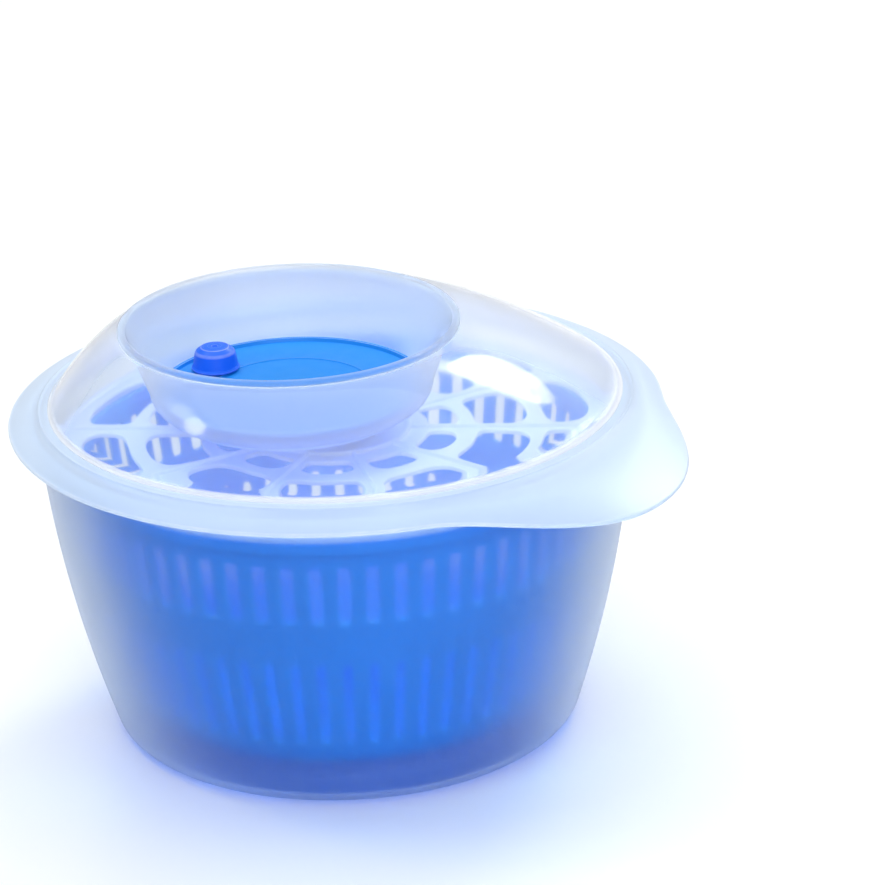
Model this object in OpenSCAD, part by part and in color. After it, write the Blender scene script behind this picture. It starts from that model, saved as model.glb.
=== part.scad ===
// Hand-cranked salad spinner: frosted bowl with a pouring beak, slotted basket,
// lace-pattern basket cover, clear domed lid and an off-centre crank whose ring
// gear turns a small pinion on the basket axis.
// Millimetres, +Z up. The origin is on the bowl axis, on the flat base.

/* [Bowl] */
// Radius of the flat base where the corner starts
base_r = 90.4; // [88:0.2:92]
// Corner radius between base and wall
corner_r = 9.95; // [8:0.05:12]
// Outward lean of the wall just above the corner
wall_lean = 0.3223; // [0.30:0.001:0.34]
// How fast the wall straightens with height
wall_curve = 0.001; // [0.0009:0.00001:0.0011]
// Wall thickness of the bowl
bowl_wall = 2.3; // [1.8:0.1:2.6]
// Floor thickness of the bowl
bowl_floor = 2.4; // [2:0.1:3]
// Outer radius of the rolled flange
flange_r = 136.8; // [134:0.2:140]
// How far the beak stands out beyond the flange
beak_reach = 33; // [20:1:36]
// Direction of the beak, degrees from +X
beak_dir = -45; // [-60:1:-30]
// Angular spread of the beak on its clockwise side
beak_spread_cw = 31; // [26:1:40]
// Angular spread of the beak on its anticlockwise side
beak_spread_ccw = 45; // [35:1:50]

/* [Basket] */
// Distance from the outside of the bowl to the outside of the basket
basket_gap = 12.2; // [11.6:0.1:13]
// Wall thickness of the basket
basket_wall = 1.8; // [1.5:0.1:2.2]
// Number of drain slots round the basket
slot_count = 60; // [40:4:60]
// Width of the upper slots
upper_slot_w = 5.5; // [4:0.1:6]
// Width of the lower slots
lower_slot_w = 4.0; // [3:0.1:5]

/* [Basket cover] */
// Outer radius of the cover
cover_r = 116.5; // [116:0.1:117]
// Thickness of the cover plate
cover_t = 2.0; // [1.6:0.1:2.4]
// Number of window sectors
sector_count = 10; // [8:1:12]
// Width of the raised ribs
rib_w = 1.6; // [1.2:0.1:2.4]
// Height of the raised ribs
rib_h = 1.6; // [0.8:0.1:1.8]

/* [Lid] */
// Outer radius of the rim round the cup
ring_r = 71.2; // [70:0.1:73]
// Height of the rim above the base
ring_z = 176.3; // [174:0.1:180]
// How strongly the dome bulges
dome_power = 1.45; // [1.2:0.05:1.7]
// Wall thickness of the cup
cup_wall = 2.0; // [1.6:0.1:2.2]

/* [Gears] */
// Tooth size: pitch diameter over teeth
gear_module = 1.0; // [1:0.01:1.02]
// Teeth inside the ring gear
ring_teeth = 54; // [54:1:54]
// Teeth on the pinion
pinion_teeth = 18; // [18:1:18]

/* [Crank] */
// Outer radius of the crank disc
disc_r = 56.0; // [54:0.1:56.2]
// Distance of the knob from the crank axis
knob_orbit = 40.6; // [36:0.1:41]
// Direction of the knob from the crank axis, degrees from +X
knob_dir = 142; // [0:1:360]
// Radius of the knob at its foot
knob_r = 10.2; // [9:0.1:10.6]
// Height of the top of the knob above the base of the bowl
knob_top = 157.2; // [156.8:0.1:160]

/* [Hidden] */

// roundness of turned faces
fine = 120;
small = 48;
// bowl heights
join_z = 134;
mouth_z = 143.3;
lip_r = 118.8;
crest_r = 121.6;
edge_z = 137.0;
edge_z_beak = 134.0;
shell_t = 2.2;
lean_angle = atan(wall_lean);
wall_z0 = corner_r * (1 - sin(lean_angle));
wall_r0 = base_r + corner_r * cos(lean_angle);
// pivot
pin_r = 3;
pin_top = 20;
boss_top = 9;
bush_r = 6;
bush_top = 22.4;
running = 0.05;
slip = 0.1;
// basket heights
basket_z = 13.6;
basket_blend_z = 22;
rim_z = 119;
floor_slot_w = 3.2;
floor_slots = [[60, 78], [38, 54], [18, 32]];
lip_top = 125;
// cover heights
cover_z = lip_top;
cover_top = cover_z + cover_t;
hub_top = 130.6;
// lid heights
seat_r = 119.6;
dome_z0 = 144.5;
dome_z1 = 173.8;
dome_r1 = 70.8;
dome_hole_r = 69.6;
cup_floor_z = 139.4;
cup_floor_top = cup_floor_z + cup_wall;
cup_bend_r = 8;
cup_low_r = 49.4;
cup_hole_r = 39;
// drive heights
axis_shift = gear_module * (ring_teeth - pinion_teeth) / 2;
crank_x = -axis_shift;
plate_z = 134.2;
plate_top = 136.4;
tray_r = 38.3;
tray_in_r = 36.5;
tray_flange_z = 137.4;
screw_orbit = 44.5;
disc_z = 143.1;
face_z = 146.5;
pad_z = 147.1;
washer_z = 147.5;
disc_rim_z = 148.1;
gear_z = 137.4;
pressure_angle = 20;
backlash = 0.16;
socket_r = 7.5;
hex_flats = 9.0;

// ---- shared helpers ----

// points on a circular arc in the section plane
function arc(cr, cz, r, a0, a1, n) = [for (i = [0:n]) let (a = a0 + (a1 - a0) * i / n)
    [cr + r * cos(a), cz + r * sin(a)]];

// one loop of points per station, every loop with the same number of points,
// joined into a closed ring of triangles
function ring_faces(stations, n) = [for (j = [0:stations - 1]) for (i = [0:n - 1])
    let (a = j * n + i)
    let (b = j * n + (i + 1) % n)
    let (c = ((j + 1) % stations) * n + (i + 1) % n)
    let (d = ((j + 1) % stations) * n + i)
    each [[a, b, c], [a, c, d]]];

module ring_shell(loops) {
    polyhedron(points = [for (loop = loops) each loop],
        faces = ring_faces(len(loops), len(loops[0])));
}

// a turned solid about a vertical axis at x
module turned(section, x = 0) {
    translate([x, 0, 0])
        rotate_extrude($fn = fine) polygon(section);
}

// a plain tube between two heights
module tube(r_out, r_in, z0, z1) {
    difference() {
        translate([0, 0, z0]) cylinder(r = r_out, h = z1 - z0, $fn = small);
        translate([0, 0, z0 - 1]) cylinder(r = r_in, h = z1 - z0 + 2, $fn = small);
    }
}

// ---- bowl ----

// outer radius of the bowl wall at a height above the corner
function bowl_r(z) = wall_r0 + wall_lean * (z - wall_z0) - wall_curve * pow(z - wall_z0, 2);

function wall_points(z0, z1, n, inset) = [for (i = [0:n]) let (z = z0 + (z1 - z0) * i / n)
    [bowl_r(z) - inset, z]];

// how much of the beak there is at an azimuth: 1 on its centre line, 0 beyond its spread
function beak_at(a) = let (d = a - beak_dir)
    let (e = d > 180 ? d - 360 : (d < -180 ? d + 360 : d))
    let (s = e < 0 ? beak_spread_cw : beak_spread_ccw)
    abs(e) >= s ? 0 : pow(cos(90 * e / s), 2);

function mouth_top(r_edge, z_edge, u) =
    [crest_r + (r_edge - 1 - crest_r) * u,
     mouth_z - (mouth_z - z_edge - 0.9) * (0.25 * u + 0.75 * u * u)];

function mouth_section(k) = let (re = flange_r + beak_reach * k)
    let (ze = edge_z + (edge_z_beak - edge_z) * k)
    let (down = [0, -shell_t])
    [[bowl_r(join_z) + 0.4, join_z],
     [bowl_r(join_z) + 0.7, 137.4],
     [126.8, 139.3],
     mouth_top(re, ze, 0.5) + down,
     mouth_top(re, ze, 0.8) + down,
     [re - 1.2, ze - 0.9],
     [re - 0.3, ze - 0.6],
     [re, ze],
     [re - 0.3, ze + 0.6],
     mouth_top(re, ze, 1),
     mouth_top(re, ze, 0.85),
     mouth_top(re, ze, 0.65),
     mouth_top(re, ze, 0.45),
     mouth_top(re, ze, 0.25),
     mouth_top(re, ze, 0.1),
     [crest_r, mouth_z],
     [lip_r + 0.6, mouth_z],
     [lip_r, mouth_z - 0.5],
     [lip_r, 141.4],
     [lip_r + 1.6, 139.2],
     [bowl_r(join_z) - bowl_wall + 0.4, join_z]];

mouth_steps = 120;

// rolled flange with its beak
module mouth() {
    ring_shell([for (j = [0:mouth_steps - 1]) let (a = 360 * j / mouth_steps)
        [for (p = mouth_section(beak_at(a)))
            [p[0] * cos(a), p[0] * sin(a), p[1]]]]);
}

function bowl_section() = concat(
    [[0, 0]],
    arc(base_r, corner_r, corner_r, -90, -lean_angle, 7),
    wall_points(wall_z0 + 8, join_z, 13, 0),
    wall_points(join_z, corner_r + 2, 13, bowl_wall),
    arc(base_r, corner_r, corner_r - bowl_floor, -lean_angle, -90, 6),
    [[10.5, bowl_floor], [8.5, boss_top], [0, boss_top]]);

module bowl() {
    color([0.74, 0.83, 0.95]) {
        difference() {
            turned(bowl_section());
            translate([0, 0, 2]) cylinder(r = pin_r, h = boss_top, $fn = small);
        }
        mouth();
    }
}

// steel pin in the middle of the bowl
module pivot_pin() {
    color([0.78, 0.78, 0.8])
        turned([[0, 2], [pin_r, 2], [pin_r, pin_top - 1.5], [pin_r - 0.6, pin_top - 0.5],
            [pin_r - 1.6, pin_top], [0, pin_top]]);
}

// bearing cap that turns on the pin and carries the basket
module pivot_bush() {
    color([0.95, 0.95, 0.92])
        turned([[pin_r + running, boss_top], [8.4, boss_top], [8.4, boss_top + 1.2],
            [bush_r, boss_top + 1.2], [bush_r, bush_top - 1], [bush_r - 1, bush_top],
            [0, bush_top], [0, pin_top + 0.4], [pin_r + running, pin_top + 0.4]]);
}

// ---- basket ----

basket_bend = (basket_blend_z - basket_z) / (1 - sin(lean_angle - 1.6));
basket_bend_r = bowl_r(basket_blend_z) - basket_gap - basket_bend * cos(lean_angle - 1.6);

function basket_points(z0, z1, n, inset) = wall_points(z0, z1, n, basket_gap + inset);

function basket_section() = concat(
    [[bush_r + slip, boss_top + 1.2], [9.5, boss_top + 1.2], [11, basket_z]],
    arc(basket_bend_r, basket_z + basket_bend, basket_bend, -90, 1.6 - lean_angle, 6),
    basket_points(basket_blend_z + 6, rim_z - 1.5, 10, 0),
    [[115, rim_z], [115.8, rim_z + 0.8], [115.8, lip_top - 0.5], [115.3, lip_top],
     [114.5, lip_top], [114, lip_top - 0.5], [114, rim_z + 1.8]],
    basket_points(rim_z + 1.8, basket_blend_z + 6, 10, basket_wall),
    arc(basket_bend_r, basket_z + basket_bend, basket_bend - 2, 1.6 - lean_angle, -90, 6),
    [[11.5, basket_z + 2], [9.5, 25.5], [8.5, 26.5], [0, 26.5], [0, bush_top + 0.6],
     [bush_r + slip, bush_top + 0.6]]);

// boxes standing round the axis, reaching outward from r0
module round_slots(count, w, r0, r1, z0, z1) {
    for (i = [0:count - 1])
        rotate([0, 0, 360 * i / count])
            translate([r0, -w / 2, z0]) cube([r1 - r0, w, z1 - z0]);
}

notch_count = 6;
notch_w = 9;
tab_w = 8.4;

module basket() {
    color([0.16, 0.42, 0.92])
        difference() {
            turned(basket_section());
            round_slots(slot_count, upper_slot_w, 90, 130, 86, 112);
            round_slots(slot_count, lower_slot_w, 84, 120, 27, 66);
            // floor slots, half as many in each ring towards the hub
            for (q = [0:2])
                round_slots(slot_count / pow(2, q), floor_slot_w, floor_slots[q][0],
                    floor_slots[q][1], basket_z - 2, basket_z + 4);
            round_slots(notch_count, notch_w, 112, 120, 121.4, lip_top + 2);
        }
}

// ---- basket cover ----

window_rings = [[37.5, 50], [58, 80], [88, 107]];
window_shift = [1.2, 2.2, 0.8];
window_points = 24;
rib_turn = -78;

// a signed power, for rounded outlines
function spow(v, p) = sign(v) * pow(abs(v), p);

// outline of one window: a rounded patch between two radii whose long sides bow
// outward; its softness, place and slant change from sector to sector
function window_outline(k, j) = let (lo = window_rings[j][0])
    let (hi = window_rings[j][1])
    let (softness = 0.56 + 0.18 * sin(137 * k + 80 * j))
    let (mid = rib_turn + 360 * (k + 0.5) / sector_count)
    let (half = 180 / sector_count - 180 * (rib_w + 4.4) / (PI * (lo + hi)))
    let (squeeze = 0.88 - 0.05 * cos(101 * k + 60 * j))
    let (shift = window_shift[j] * sin(75 * k + 40 * j))
    let (slant = 0.07 * cos(110 * k + 70 * j))
    [for (i = [0:window_points - 1]) let (t = 360 * (i + 0.5) / window_points)
        let (v = spow(sin(t), softness))
        let (u = spow(cos(t), softness) * squeeze + slant * v)
        let (r = (lo + hi) / 2 + shift + v * (hi - lo) / 2 * 0.93 + 1.8 * (1 - u * u) - 0.9)
        let (a = mid + half * u)
        [r * cos(a), r * sin(a)]];

module basket_cover() {
    color([0.93, 0.96, 1.0])
        difference() {
            union() {
                difference() {
                    turned([[0, cover_z], [111.9, cover_z], [111.9, 121.2], [113.6, 121.2],
                        [113.6, cover_z], [cover_r, cover_z], [cover_r, cover_top + 0.2],
                        [cover_r - 0.6, cover_top + 0.8], [cover_r - 2, cover_top + 0.8],
                        [cover_r - 2.6, cover_top], [0, cover_top]]);
                    translate([0, 0, cover_z - 1])
                        linear_extrude(height = cover_t + 2)
                            for (k = [0:sector_count - 1])
                                for (j = [0:2])
                                    polygon(window_outline(k, j));
                }
                // raised ribs
                for (k = [0:sector_count - 1])
                    rotate([0, 0, rib_turn + 360 * k / sector_count])
                        translate([30, -rib_w / 2, cover_top - 0.5])
                            cube([83, rib_w, rib_h + 0.5]);
                // hub round the socket
                translate([0, 0, 122]) cylinder(r = 10.5, h = hub_top - 122, $fn = fine);
                turned([[28.5, cover_top - 0.5], [31.5, cover_top - 0.5],
                    [31.5, cover_top + rib_h - 0.4], [31.1, cover_top + rib_h],
                    [28.9, cover_top + rib_h], [28.5, cover_top + rib_h - 0.4]]);
                // driving tabs
                for (i = [0:notch_count - 1])
                    rotate([0, 0, 360 * i / notch_count])
                        translate([113, -tab_w / 2, 122]) cube([2.4, tab_w, 3.5]);
            }
            translate([0, 0, 120]) cylinder(r = socket_r, h = 14, $fn = fine);
        }
}

// six-sided socket pressed in the hub of the cover
module drive_socket() {
    color([0.95, 0.95, 0.92])
        difference() {
            union() {
                translate([0, 0, 121.5]) cylinder(r = socket_r, h = 9.6, $fn = fine);
                translate([0, 0, hub_top]) cylinder(r = 9.2, h = 0.6, $fn = fine);
            }
            translate([0, 0, 120])
                cylinder(r = (hex_flats + 0.4) / 2 / cos(30), h = 14, $fn = 6);
        }
}

// ---- lid ----

dome_steps = 96;
dome_levels = 9;

function dome_z(t) = dome_z0 + (dome_z1 - dome_z0) * (1 - pow(1 - t, dome_power));

// section stations [radius, height, share of the axis shift]
function dome_section() = concat(
    [[120.2, mouth_z, 0], [120.2, 144.1, 0]],
    [for (i = [0:dome_levels]) let (t = i / dome_levels)
        [seat_r - (seat_r - dome_r1) * t, dome_z(t), t]],
    [[dome_hole_r, dome_z1, 1], [dome_hole_r, dome_z1 - 1.5, 1]],
    [for (i = [dome_levels - 1:-1:1]) let (t = i / dome_levels)
        [seat_r - 2.2 - (seat_r - dome_r1) * t, dome_z(t) - 1.5, t]],
    [[117.2, 144.2, 0], [116.8, 138.7, 0], [117.2, 138.2, 0],
     [118.0, 138.2, 0], [118.4, 138.7, 0], [118.4, mouth_z, 0]]);

// clear dome that leans from the bowl axis over to the crank axis
module dome() {
    ring_shell([for (j = [0:dome_steps - 1]) let (a = 360 * j / dome_steps)
        [for (p = dome_section())
            [crank_x * p[2] + p[0] * cos(a), p[0] * sin(a), p[1]]]]);
}

function cup_section() = concat(
    [[dome_hole_r - 0.3, dome_z1], [ring_r, dome_z1], [ring_r, 175.2], [ring_r - 0.3, 175.8],
     [ring_r - 1, ring_z], [ring_r - 2.2, ring_z], [ring_r - 3, 175.6]],
    [[64.6, 168], [61.6, 160], [58.6, 152.6]],
    arc(cup_low_r, cup_floor_top + cup_bend_r, cup_bend_r, 0, -90, 8),
    [[cup_hole_r, cup_floor_top], [cup_hole_r, cup_floor_z]],
    arc(cup_low_r, cup_floor_top + cup_bend_r, cup_bend_r + cup_wall, -90, 0, 8),
    [[60.7, 152.6], [63.6, 160], [66.5, 168]]);

// stands its children at the four screw places
module screw_places() {
    for (i = [0:3])
        translate([crank_x + screw_orbit * cos(45 + 90 * i), screw_orbit * sin(45 + 90 * i), 0])
            children();
}

// clear dome with the skirt that plugs the bowl's mouth
module lid() {
    color([0.88, 0.94, 1.0]) dome();
}

// frosted well for the crank, joined to the dome under its rim
module crank_cup() {
    color([0.82, 0.89, 1.0])
        difference() {
            union() {
                turned(cup_section(), crank_x);
                screw_places()
                    translate([0, 0, cup_floor_top - 0.5]) cylinder(r = 3, h = 1.7, $fn = small);
            }
            screw_places()
                translate([0, 0, cup_floor_z - 1]) cylinder(r = 1.25, h = 3.6, $fn = small);
        }
}

// ---- drive ----

// tray under the cup floor that holds both bearings
module gear_housing() {
    color([0.85, 0.9, 0.96])
        difference() {
            union() {
                turned([[0, plate_z], [tray_r - 1, plate_z], [tray_r, plate_z + 1],
                    [tray_r, tray_flange_z], [49, tray_flange_z], [49, cup_floor_z],
                    [tray_in_r, cup_floor_z], [tray_in_r, plate_top], [0, plate_top]], crank_x);
                translate([crank_x, 0, plate_z]) cylinder(r = 6.5, h = 4.8, $fn = fine);
                translate([0, 0, 132.9]) cylinder(r = 9, h = 3.5, $fn = fine);
            }
            translate([crank_x, 0, plate_z - 1]) cylinder(r = 4.5, h = 8, $fn = fine);
            translate([0, 0, 131]) cylinder(r = 6.5, h = 8, $fn = fine);
            screw_places()
                translate([0, 0, tray_flange_z - 1]) cylinder(r = 1.6, h = 4, $fn = small);
        }
}

// four pan-head screws through the tray flange into the lid
module housing_screws() {
    color([0.75, 0.75, 0.77])
        screw_places()
            difference() {
                rotate_extrude($fn = small)
                    polygon([[0, 135.8], [2.1, 135.8], [2.6, 136.3], [2.6, tray_flange_z],
                        [1.25, tray_flange_z], [1.25, 141.4], [0.7, 141.8], [0, 141.8]]);
                for (q = [0, 90])
                    rotate([0, 0, q]) translate([-1.5, -0.3, 135.3]) cube([3, 0.6, 1.1]);
            }
}

// flanged bearing of the crank
module crank_bush() {
    color([0.95, 0.95, 0.92])
        turned([[pin_r + running, plate_z], [4.5, plate_z], [4.5, 139], [6.2, 139],
            [6.2, 139.9], [pin_r + running, 139.9]], crank_x);
}

// flanged bearing of the spindle
module spindle_bush() {
    color([0.95, 0.95, 0.92])
        turned([[4.5 + running, 132.9], [6.5, 132.9], [6.5, plate_top], [8, plate_top],
            [8, gear_z], [4.5 + running, gear_z]]);
}

collar_in_r = 33;
collar_out_r = 34.8;

// stands its children on the knob axis
module at_knob() {
    translate([crank_x + knob_orbit * cos(knob_dir), knob_orbit * sin(knob_dir), 0]) children();
}

// dished disc with a raised rim, a collar for the ring gear and a boss for the axle
module crank_disc() {
    color([0.2, 0.55, 0.98])
        difference() {
            union() {
                turned([[0, disc_z], [52.4, disc_z], [disc_r, 146.2], [disc_r, 147.7],
                    [disc_r - 0.4, disc_rim_z], [disc_r - 1.4, disc_rim_z],
                    [disc_r - 1.7, 147.9], [disc_r - 2.0, face_z + 0.2], [disc_r - 2.3, face_z],
                    [33.9, face_z], [33.7, face_z + 0.35], [33.1, face_z + 0.35],
                    [32.9, face_z], [0, face_z]], crank_x);
                turned([[collar_in_r, 139.6], [collar_out_r, 139.6], [collar_out_r, disc_z + 0.5],
                    [collar_in_r, disc_z + 0.5]], crank_x);
                translate([crank_x, 0, 139.9]) cylinder(r = 6.2, h = 4, $fn = fine);
                at_knob() translate([0, 0, face_z - 0.5]) cylinder(r = 6, h = pad_z - face_z + 0.5, $fn = fine);
            }
            translate([crank_x, 0, 139]) cylinder(r = pin_r, h = 5.2, $fn = fine);
            at_knob() translate([0, 0, 144.4]) cylinder(r = 2.5, h = 4, $fn = small);
        }
}

// steel axle fixed in the disc
module crank_axle() {
    color([0.78, 0.78, 0.8])
        turned([[0, 131.6], [pin_r - 0.5, 131.6], [pin_r, 132.1], [pin_r, 132.6],
            [pin_r - 0.6, 132.6], [pin_r - 0.6, 133.4], [pin_r, 133.4], [pin_r, 144.2],
            [0, 144.2]], crank_x);
}

module axle_washer() {
    color([0.78, 0.78, 0.8])
        translate([crank_x, 0, 0]) tube(6, pin_r + slip, 133.4, plate_z);
}

// open retaining ring in the groove of the axle
module axle_clip() {
    color([0.55, 0.56, 0.58])
        translate([crank_x, 0, 0])
            difference() {
                tube(5.2, pin_r - 0.6, 132.6, 133.4);
                translate([0, -1.6, 132]) cube([7, 3.2, 2]);
            }
}

// involute angle function, in degrees
function inv(a) = tan(a) * 180 / PI - a;

// half the angular width of a tooth at a radius
function half_tooth(r, teeth, extra) = let (rb = gear_module * teeth / 2 * cos(pressure_angle))
    90 / teeth + extra * 180 / (PI * gear_module * teeth) + inv(pressure_angle)
    - (r > rb ? inv(acos(rb / r)) : 0);

// outline of a gear between root and tip radius; extra widens the teeth
function gear_outline(teeth, root, tip, extra) = [for (i = [0:teeth - 1])
    let (a = 360 * i / teeth)
    each concat(
        [for (s = [0:4]) let (r = root + (tip - root) * s / 4)
            let (h = half_tooth(r, teeth, extra))
            [r * cos(a - h), r * sin(a - h)]],
        [for (s = [4:-1:0]) let (r = root + (tip - root) * s / 4)
            let (h = half_tooth(r, teeth, extra))
            [r * cos(a + h), r * sin(a + h)]])];

// internal gear pressed in the collar of the disc
module ring_gear() {
    color([0.93, 0.93, 0.9])
        translate([crank_x, 0, 137.2])
            linear_extrude(height = disc_z - 137.2)
                difference() {
                    circle(r = collar_in_r, $fn = fine);
                    polygon(gear_outline(ring_teeth, gear_module * (ring_teeth / 2 - 0.9),
                        gear_module * (ring_teeth / 2 + 1.15), backlash / 2));
                }
}

module pinion() {
    color([0.93, 0.93, 0.9])
        translate([0, 0, gear_z])
            linear_extrude(height = 5.2)
                difference() {
                    polygon(gear_outline(pinion_teeth, gear_module * (pinion_teeth / 2 - 1.2),
                        gear_module * (pinion_teeth / 2 + 0.85), -backlash / 2));
                    circle(r = 3.5, $fn = small);
                }
}

// spindle that carries the pinion and drives the socket of the cover
module drive_spindle() {
    color([0.9, 0.91, 0.93])
        union() {
            turned([[0, 131.9], [6.3, 131.9], [6.3, 132.9], [4.5, 132.9], [4.5, gear_z],
                [3.5, gear_z], [3.5, 142], [3, 142.4], [0, 142.4]]);
            translate([0, 0, 123])
                cylinder(r = hex_flats / 2 / cos(30), h = 9, $fn = 6);
        }
}

// ---- knob ----

// headed pin fixed in the disc
module knob_pin() {
    color([0.78, 0.78, 0.8])
        at_knob()
            rotate_extrude($fn = small)
                polygon([[0, 144.4], [2.5, 144.4], [2.5, 152.6], [4.2, 152.6], [4.2, 153.4],
                    [3.6, 153.9], [0, 153.9]]);
}

module knob_washer() {
    color([0.95, 0.95, 0.92])
        at_knob() tube(6, 2.5 + slip, pad_z, washer_z);
}

cap_r = 5;
cap_z = 154.4;

// free-turning grip with a small foot and a slight taper
module knob() {
    color([0.1, 0.4, 0.96])
        at_knob()
            rotate_extrude($fn = fine)
                polygon(concat(
                    [[2.5 + running, washer_z], [knob_r, washer_z], [knob_r, 148.1],
                     [knob_r - 0.6, 148.7],
                     [knob_r - 1.2, 153.6]],
                    [for (i = [1:6]) let (a = 13 * i)
                        [(knob_r - 4.4) + 3.2 * cos(a), 153.6 + (knob_top - 154.1) * sin(a)]],
                    [[cap_r, knob_top - 0.35], [cap_r, cap_z], [4.6, cap_z], [4.6, 152.3],
                     [2.5 + running, 152.3]]));
}

// plug with a dimple that closes the top of the knob
module knob_cap() {
    color([0.1, 0.4, 0.96])
        at_knob()
            rotate_extrude($fn = fine)
                polygon(concat(
                    [[0, cap_z], [cap_r, cap_z], [cap_r, knob_top - 0.35], [3, knob_top]],
                    [for (i = [0:4]) [1.4 * cos(22.5 * i), knob_top - 0.1 - 0.7 * sin(22.5 * i)]]));
}

bowl();
pivot_pin();
pivot_bush();
basket();
basket_cover();
drive_socket();
lid();
crank_cup();
gear_housing();
housing_screws();
crank_bush();
spindle_bush();
crank_disc();
crank_axle();
axle_washer();
axle_clip();
ring_gear();
pinion();
drive_spindle();
knob_pin();
knob_washer();
knob();
knob_cap();
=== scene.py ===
# Hand-cranked salad spinner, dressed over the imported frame. Lengths below are in
# millimetres until they reach Blender; MM turns them into metres.
import math
import bpy
import bmesh
from mathutils import Vector, Matrix


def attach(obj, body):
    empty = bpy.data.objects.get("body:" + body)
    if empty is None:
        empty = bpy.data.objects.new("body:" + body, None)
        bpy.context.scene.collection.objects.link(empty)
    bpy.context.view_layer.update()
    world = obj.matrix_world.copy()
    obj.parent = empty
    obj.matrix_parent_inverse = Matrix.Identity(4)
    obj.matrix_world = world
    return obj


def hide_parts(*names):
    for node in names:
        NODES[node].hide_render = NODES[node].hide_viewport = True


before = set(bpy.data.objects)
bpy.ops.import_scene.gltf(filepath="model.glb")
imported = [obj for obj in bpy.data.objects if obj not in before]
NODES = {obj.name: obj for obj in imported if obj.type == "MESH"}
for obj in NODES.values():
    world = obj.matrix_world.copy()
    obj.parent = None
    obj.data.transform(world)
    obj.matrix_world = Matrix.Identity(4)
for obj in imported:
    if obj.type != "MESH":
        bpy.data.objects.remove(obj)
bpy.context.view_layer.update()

MM = 0.001
TAU = 2 * math.pi
CRANK_X = -18.0

# ---------------------------------------------------------------- camera

# fitted to the photograph, in its own pixels
PHOTO_WIDTH, FOCAL_LENGTH = 885.0, 4000.0
SENSOR = 36.0


def make_camera():
    data = bpy.data.cameras.new("camera")
    data.sensor_width = SENSOR
    data.lens = FOCAL_LENGTH / PHOTO_WIDTH * SENSOR
    data.clip_start = 0.05
    data.clip_end = 50.0
    cam = bpy.data.objects.new("camera", data)
    bpy.context.scene.collection.objects.link(cam)
    fwd = Vector((0.026186, 0.926457, -0.375488)).normalized()
    up = Vector((0.045732, 0.374113, 0.926255))
    right = fwd.cross(up).normalized()
    up = right.cross(fwd)
    rot = Matrix((right, up, -fwd)).transposed().to_4x4()
    cam.matrix_world = Matrix.Translation((0.0, -1.55885, 0.75027)) @ rot
    bpy.context.scene.camera = cam


make_camera()

# ---------------------------------------------------------------- materials

# painted shadow: the lamps' light that the bowl's foot passes, darker than the rest of the bowl, to darken the floor
# at its base
FOOT_SHADE = (0.12, 0.40, 0.88, 1)


def srgb(r, g, b):
    def lin(c):
        c /= 255.0
        return c / 12.92 if c <= 0.04045 else ((c + 0.055) / 1.055) ** 2.4
    return (lin(r), lin(g), lin(b), 1.0)


def node(nt, kind, x=0, y=0, **props):
    n = nt.nodes.new(kind)
    n.location = (x, y)
    for k, v in props.items():
        setattr(n, k, v)
    return n


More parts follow.
